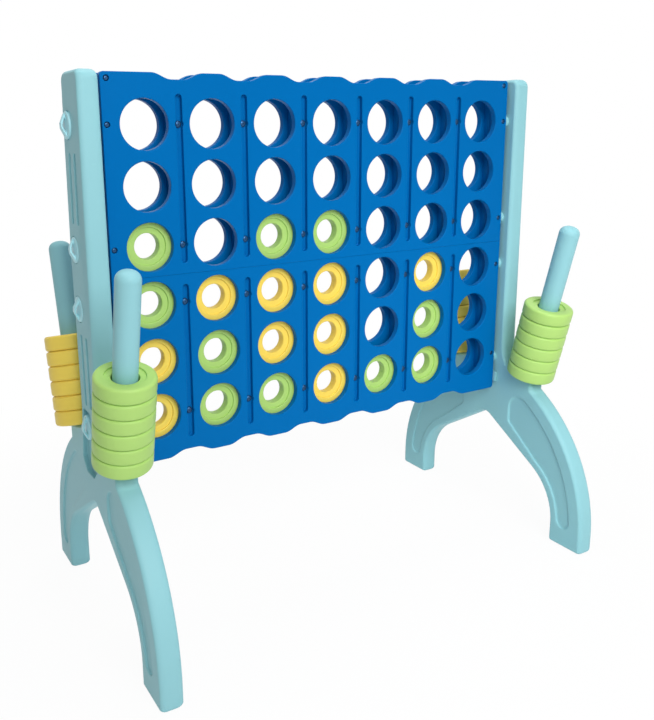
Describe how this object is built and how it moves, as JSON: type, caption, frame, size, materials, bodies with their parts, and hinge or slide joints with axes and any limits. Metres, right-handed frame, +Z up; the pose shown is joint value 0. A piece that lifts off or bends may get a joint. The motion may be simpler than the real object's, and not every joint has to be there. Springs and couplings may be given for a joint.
{
  "type": "giant four in a row game",
  "caption": "Standing four in a row game: a blue slotted board with round windows between two arched aqua legs, with leaning pegs that store ring discs",
  "frame": {"origin": "on the ground under the middle of the board", "axes": "+X along the board to the right seen from the front, -Y towards the front, +Z up"},
  "size_m": [0.762, 0.43, 0.72],
  "materials": {
    "blue_plastic": "glossy blue moulded polyethylene",
    "aqua_plastic": "satin light aqua moulded plastic",
    "pale_aqua_plastic": "paler aqua moulded plastic with a soft gloss",
    "green_plastic": "satin light green plastic",
    "yellow_plastic": "satin warm yellow plastic",
    "screw_metal": "dark blue coated steel"
  },
  "bodies": {
    "root": {"panel_upper_front": "blue_plastic", "panel_upper_rear": "blue_plastic", "panel_lower_front": "blue_plastic", "panel_lower_rear": "blue_plastic", "leg_left": "aqua_plastic", "peg_front_left": "aqua_plastic", "peg_rear_left": "aqua_plastic", "screw_left_1": "screw_metal", "screw_left_2": "screw_metal", "screw_left_3": "screw_metal", "screw_left_4": "screw_metal", "leg_right": "aqua_plastic", "peg_front_right": "aqua_plastic", "peg_rear_right": "aqua_plastic", "screw_right_1": "screw_metal", "screw_right_2": "screw_metal", "screw_right_3": "screw_metal", "screw_right_4": "screw_metal"},
    "release_bar": {"release_bar": "aqua_plastic"},
    "knob_left_1": {"knob_left_1": "pale_aqua_plastic"},
    "knob_left_2": {"knob_left_2": "pale_aqua_plastic"},
    "knob_left_3": {"knob_left_3": "pale_aqua_plastic"},
    "knob_left_4": {"knob_left_4": "pale_aqua_plastic"},
    "knob_right_1": {"knob_right_1": "pale_aqua_plastic"},
    "knob_right_2": {"knob_right_2": "pale_aqua_plastic"},
    "knob_right_3": {"knob_right_3": "pale_aqua_plastic"},
    "knob_right_4": {"knob_right_4": "pale_aqua_plastic"},
    "disc_c1_r1": {"disc_c1_r1": "yellow_plastic"},
    "disc_c1_r2": {"disc_c1_r2": "yellow_plastic"},
    "disc_c1_r3": {"disc_c1_r3": "green_plastic"},
    "disc_c1_r4": {"disc_c1_r4": "green_plastic"},
    "disc_c2_r1": {"disc_c2_r1": "green_plastic"},
    "disc_c2_r2": {"disc_c2_r2": "green_plastic"},
    "disc_c2_r3": {"disc_c2_r3": "yellow_plastic"},
    "disc_c3_r1": {"disc_c3_r1": "green_plastic"},
    "disc_c3_r2": {"disc_c3_r2": "yellow_plastic"},
    "disc_c3_r3": {"disc_c3_r3": "yellow_plastic"},
    "disc_c3_r4": {"disc_c3_r4": "green_plastic"},
    "disc_c4_r1": {"disc_c4_r1": "yellow_plastic"},
    "disc_c4_r2": {"disc_c4_r2": "yellow_plastic"},
    "disc_c4_r3": {"disc_c4_r3": "yellow_plastic"},
    "disc_c4_r4": {"disc_c4_r4": "green_plastic"},
    "disc_c5_r1": {"disc_c5_r1": "green_plastic"},
    "disc_c6_r1": {"disc_c6_r1": "green_plastic"},
    "disc_c6_r2": {"disc_c6_r2": "green_plastic"},
    "disc_c6_r3": {"disc_c6_r3": "yellow_plastic"},
    "ring_stack_front_left": {"ring_stack_front_left": "green_plastic"},
    "ring_top_front_left": {"ring_top_front_left": "green_plastic"},
    "ring_stack_rear_left": {"ring_stack_rear_left": "yellow_plastic"},
    "ring_top_rear_left": {"ring_top_rear_left": "yellow_plastic"},
    "ring_stack_front_right": {"ring_stack_front_right": "green_plastic"},
    "ring_top_front_right": {"ring_top_front_right": "green_plastic"},
    "ring_stack_rear_right": {"ring_stack_rear_right": "yellow_plastic"},
    "ring_top_rear_right": {"ring_top_rear_right": "yellow_plastic"}
  },
  "joints": [
    {"name": "release_turn", "type": "hinge", "parent": "root", "child": "release_bar", "pos_m": [0, -0.016, 0.24165], "axis": [-1, 0, 0], "range_deg": [0, 90]},
    {"name": "knob_turn_left_1", "type": "hinge", "parent": "root", "child": "knob_left_1", "pos_m": [-0.3513, 0.012, 0.6572], "axis": [-1, 0, 0], "continuous": true},
    {"name": "knob_turn_left_2", "type": "hinge", "parent": "root", "child": "knob_left_2", "pos_m": [-0.3513, 0.012, 0.5076], "axis": [-1, 0, 0], "continuous": true},
    {"name": "knob_turn_left_3", "type": "hinge", "parent": "root", "child": "knob_left_3", "pos_m": [-0.3513, 0.012, 0.4328], "axis": [-1, 0, 0], "continuous": true},
    {"name": "knob_turn_left_4", "type": "hinge", "parent": "root", "child": "knob_left_4", "pos_m": [-0.3513, 0.012, 0.2752], "axis": [-1, 0, 0], "continuous": true},
    {"name": "knob_turn_right_1", "type": "hinge", "parent": "root", "child": "knob_right_1", "pos_m": [0.3513, -0.012, 0.6572], "axis": [1, 0, 0], "continuous": true},
    {"name": "knob_turn_right_2", "type": "hinge", "parent": "root", "child": "knob_right_2", "pos_m": [0.3513, -0.012, 0.5076], "axis": [1, 0, 0], "continuous": true},
    {"name": "knob_turn_right_3", "type": "hinge", "parent": "root", "child": "knob_right_3", "pos_m": [0.3513, -0.012, 0.4328], "axis": [1, 0, 0], "continuous": true},
    {"name": "knob_turn_right_4", "type": "hinge", "parent": "root", "child": "knob_right_4", "pos_m": [0.3513, -0.012, 0.2752], "axis": [1, 0, 0], "continuous": true},
    {"name": "lift_c1_r1", "type": "slide", "parent": "root", "child": "disc_c1_r1", "axis": [0, 0, 1], "range_m": [0, 0.4752]},
    {"name": "lift_c1_r2", "type": "slide", "parent": "disc_c1_r1", "child": "disc_c1_r2", "axis": [0, 0, 1], "range_m": [0, 0.08]},
    {"name": "lift_c1_r3", "type": "slide", "parent": "disc_c1_r2", "child": "disc_c1_r3", "axis": [0, 0, 1], "range_m": [0, 0.08]},
    {"name": "lift_c1_r4", "type": "slide", "parent": "disc_c1_r3", "child": "disc_c1_r4", "axis": [0, 0, 1], "range_m": [0, 0.08]},
    {"name": "lift_c2_r1", "type": "slide", "parent": "root", "child": "disc_c2_r1", "axis": [0, 0, 1], "range_m": [0, 0.4752]},
    {"name": "lift_c2_r2", "type": "slide", "parent": "disc_c2_r1", "child": "disc_c2_r2", "axis": [0, 0, 1], "range_m": [0, 0.08]},
    {"name": "lift_c2_r3", "type": "slide", "parent": "disc_c2_r2", "child": "disc_c2_r3", "axis": [0, 0, 1], "range_m": [0, 0.08]},
    {"name": "lift_c3_r1", "type": "slide", "parent": "root", "child": "disc_c3_r1", "axis": [0, 0, 1], "range_m": [0, 0.4752]},
    {"name": "lift_c3_r2", "type": "slide", "parent": "disc_c3_r1", "child": "disc_c3_r2", "axis": [0, 0, 1], "range_m": [0, 0.08]},
    {"name": "lift_c3_r3", "type": "slide", "parent": "disc_c3_r2", "child": "disc_c3_r3", "axis": [0, 0, 1], "range_m": [0, 0.08]},
    {"name": "lift_c3_r4", "type": "slide", "parent": "disc_c3_r3", "child": "disc_c3_r4", "axis": [0, 0, 1], "range_m": [0, 0.08]},
    {"name": "lift_c4_r1", "type": "slide", "parent": "root", "child": "disc_c4_r1", "axis": [0, 0, 1], "range_m": [0, 0.4752]},
    {"name": "lift_c4_r2", "type": "slide", "parent": "disc_c4_r1", "child": "disc_c4_r2", "axis": [0, 0, 1], "range_m": [0, 0.08]},
    {"name": "lift_c4_r3", "type": "slide", "parent": "disc_c4_r2", "child": "disc_c4_r3", "axis": [0, 0, 1], "range_m": [0, 0.08]},
    {"name": "lift_c4_r4", "type": "slide", "parent": "disc_c4_r3", "child": "disc_c4_r4", "axis": [0, 0, 1], "range_m": [0, 0.08]},
    {"name": "lift_c5_r1", "type": "slide", "parent": "root", "child": "disc_c5_r1", "axis": [0, 0, 1], "range_m": [0, 0.4752]},
    {"name": "lift_c6_r1", "type": "slide", "parent": "root", "child": "disc_c6_r1", "axis": [0, 0, 1], "range_m": [0, 0.4752]},
    {"name": "lift_c6_r2", "type": "slide", "parent": "disc_c6_r1", "child": "disc_c6_r2", "axis": [0, 0, 1], "range_m": [0, 0.08]},
    {"name": "lift_c6_r3", "type": "slide", "parent": "disc_c6_r2", "child": "disc_c6_r3", "axis": [0, 0, 1], "range_m": [0, 0.08]},
    {"name": "stack_lift_front_left", "type": "slide", "parent": "root", "child": "ring_stack_front_left", "axis": [0, -0.2419, 0.9703], "range_m": [0, 0.26]},
    {"name": "ring_lift_front_left", "type": "slide", "parent": "ring_stack_front_left", "child": "ring_top_front_left", "axis": [0, -0.2419, 0.9703], "range_m": [0, 0.16]},
    {"name": "stack_lift_rear_left", "type": "slide", "parent": "root", "child": "ring_stack_rear_left", "axis": [0, 0.2419, 0.9703], "range_m": [0, 0.26]},
    {"name": "ring_lift_rear_left", "type": "slide", "parent": "ring_stack_rear_left", "child": "ring_top_rear_left", "axis": [0, 0.2419, 0.9703], "range_m": [0, 0.16]},
    {"name": "stack_lift_front_right", "type": "slide", "parent": "root", "child": "ring_stack_front_right", "axis": [0, -0.2419, 0.9703], "range_m": [0, 0.26]},
    {"name": "ring_lift_front_right", "type": "slide", "parent": "ring_stack_front_right", "child": "ring_top_front_right", "axis": [0, -0.2419, 0.9703], "range_m": [0, 0.16]},
    {"name": "stack_lift_rear_right", "type": "slide", "parent": "root", "child": "ring_stack_rear_right", "axis": [0, 0.2419, 0.9703], "range_m": [0, 0.26]},
    {"name": "ring_lift_rear_right", "type": "slide", "parent": "ring_stack_rear_right", "child": "ring_top_rear_right", "axis": [0, 0.2419, 0.9703], "range_m": [0, 0.16]}
  ]
}
